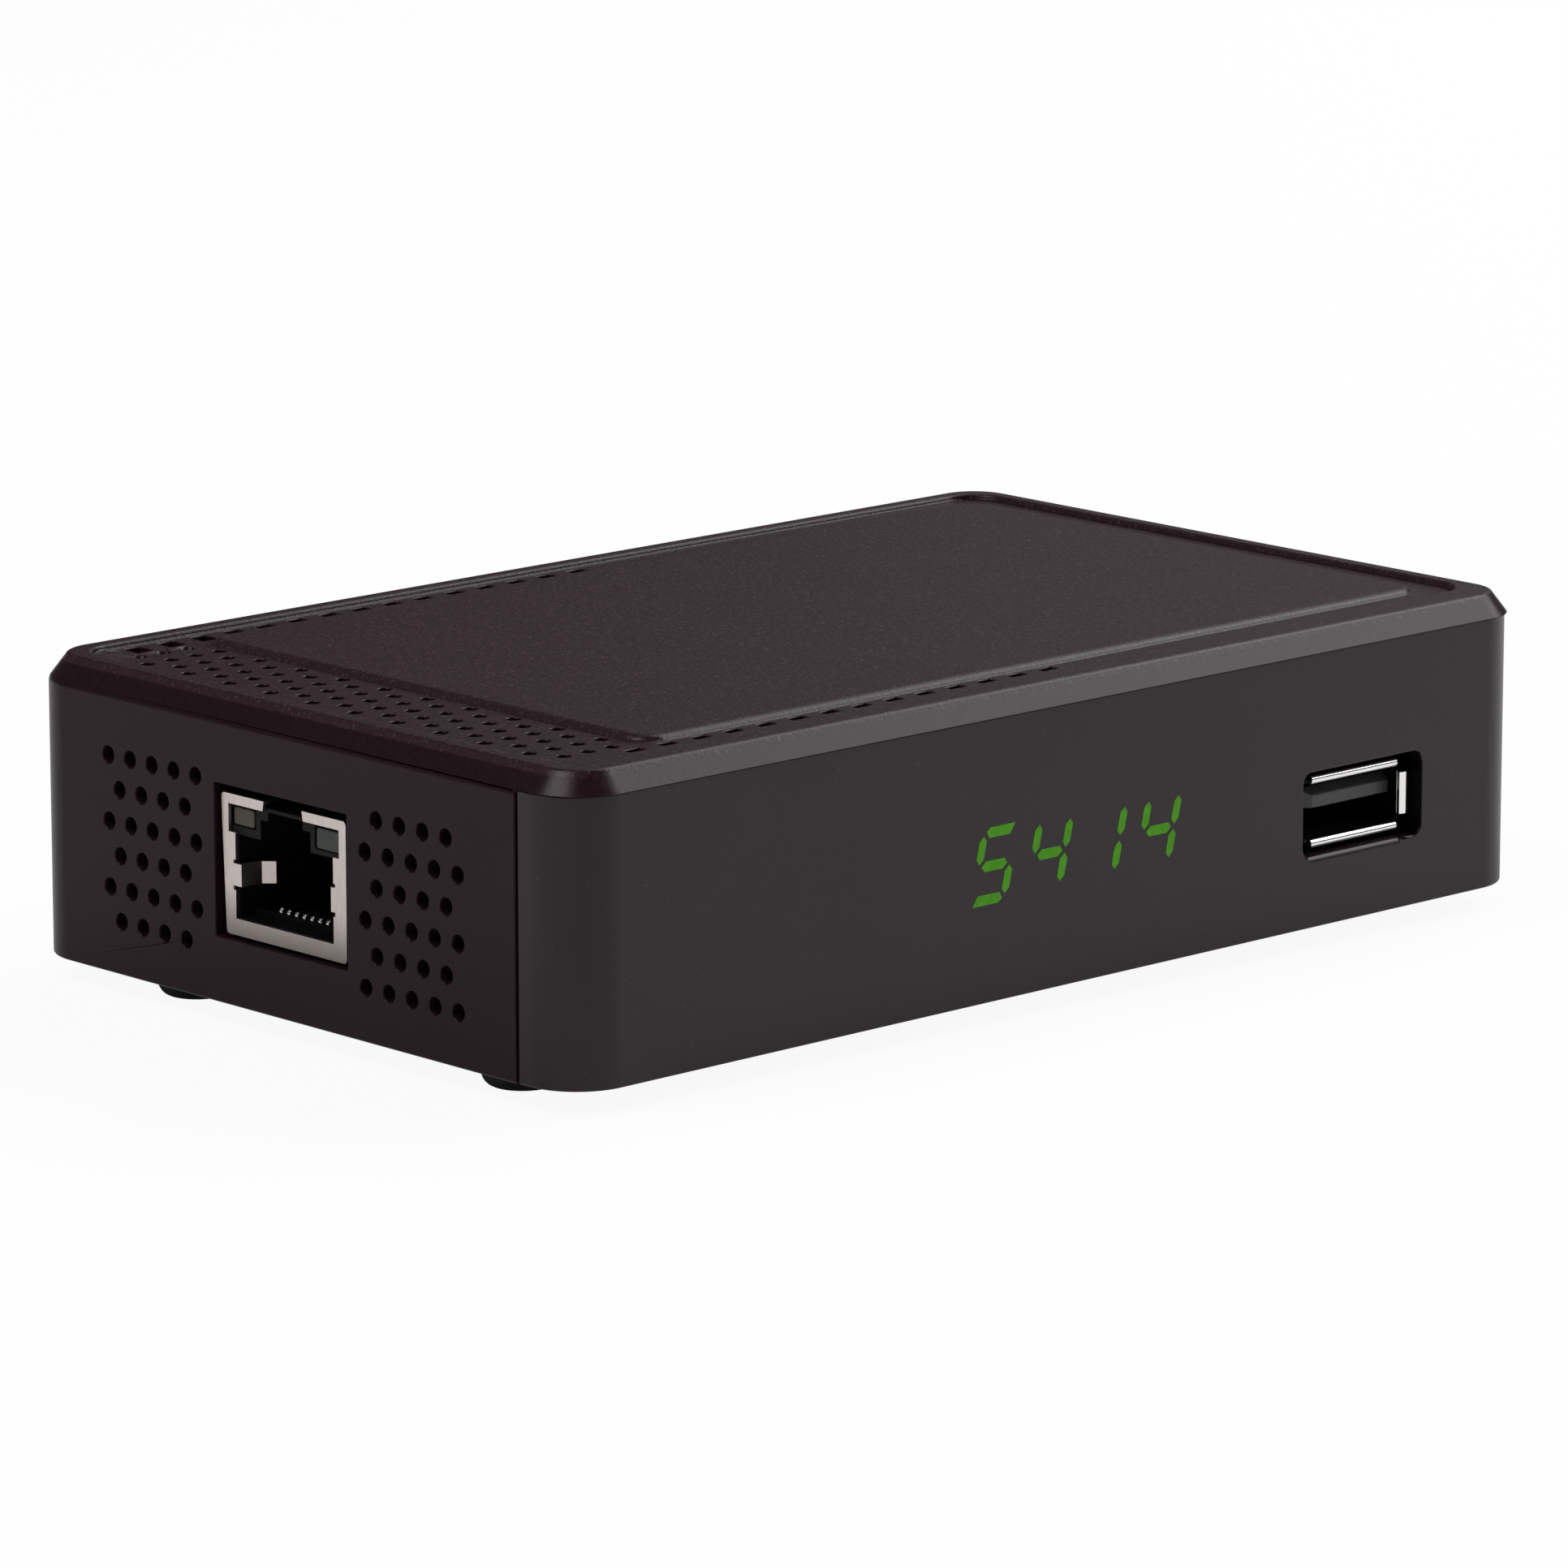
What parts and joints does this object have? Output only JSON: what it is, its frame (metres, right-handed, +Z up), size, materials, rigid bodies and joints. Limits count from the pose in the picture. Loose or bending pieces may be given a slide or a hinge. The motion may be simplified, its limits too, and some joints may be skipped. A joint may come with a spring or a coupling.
{
  "type": "digital television receiver",
  "caption": "Small flat television set-top box with round air vents, a raised roof panel, a hidden number display and network, serial bus, video, audio and aerial sockets.",
  "frame": {"origin": "under the middle of the bounding box, on the surface the feet stand on", "axes": "+X along the long side towards the viewer's right, +Y from the front panel to the rear sockets, +Z up"},
  "size_m": [0.1158, 0.0803, 0.0289],
  "materials": {
    "cover": "fine-grained dark grey moulding",
    "panel": "smooth satin dark grey",
    "rubber": "matt black",
    "steel": "plain tinned sheet",
    "chrome": "bright plated",
    "gold": "gold plated",
    "plastic": "black moulding",
    "board": "green solder mask",
    "amber": "translucent, unlit",
    "green": "translucent, unlit",
    "pale": "off-white insulator"
  },
  "bodies": {
    "root": {"top_cover": "cover", "front_panel": "panel", "bottom_cover": "cover", "rear_panel": "cover", "foot_front_left": "rubber", "foot_front_right": "rubber", "foot_rear_left": "rubber", "foot_rear_right": "rubber", "case_screw_front_left": "steel", "case_screw_front_right": "steel", "case_screw_rear_left": "steel", "case_screw_rear_right": "steel", "main_board": "board", "board_screw_front_left": "steel", "board_screw_front_right": "steel", "board_screw_rear_left": "steel", "board_screw_rear_right": "steel", "network_jack_shield": "steel", "network_jack_housing": "plastic", "network_jack_lamp_rear": "amber", "network_jack_lamp_front": "green", "network_jack_contact_1": "gold", "network_jack_contact_2": "gold", "network_jack_contact_3": "gold", "network_jack_contact_4": "gold", "network_jack_contact_5": "gold", "network_jack_contact_6": "gold", "network_jack_contact_7": "gold", "network_jack_contact_8": "gold", "bus_socket_shell": "chrome", "bus_socket_insulator": "plastic", "bus_socket_contact_1": "gold", "bus_socket_contact_2": "gold", "bus_socket_contact_3": "gold", "bus_socket_contact_4": "gold", "display_module": "plastic", "remote_eye": "plastic", "power_jack": "plastic", "power_jack_pin": "steel", "video_socket_shell": "steel", "video_socket_tongue": "plastic", "audio_jack": "plastic", "tuner_can": "steel", "aerial_out_shell": "steel", "aerial_out_seat": "pale", "aerial_out_pin": "steel", "aerial_in_shell": "steel", "aerial_in_core": "pale", "main_chip": "plastic", "heat_sink": "steel", "memory_chip": "plastic", "flash_chip": "plastic", "network_transformer": "plastic", "power_inductor": "plastic", "crystal": "steel", "capacitor_left": "plastic", "capacitor_right": "plastic"}
  },
  "joints": []
}
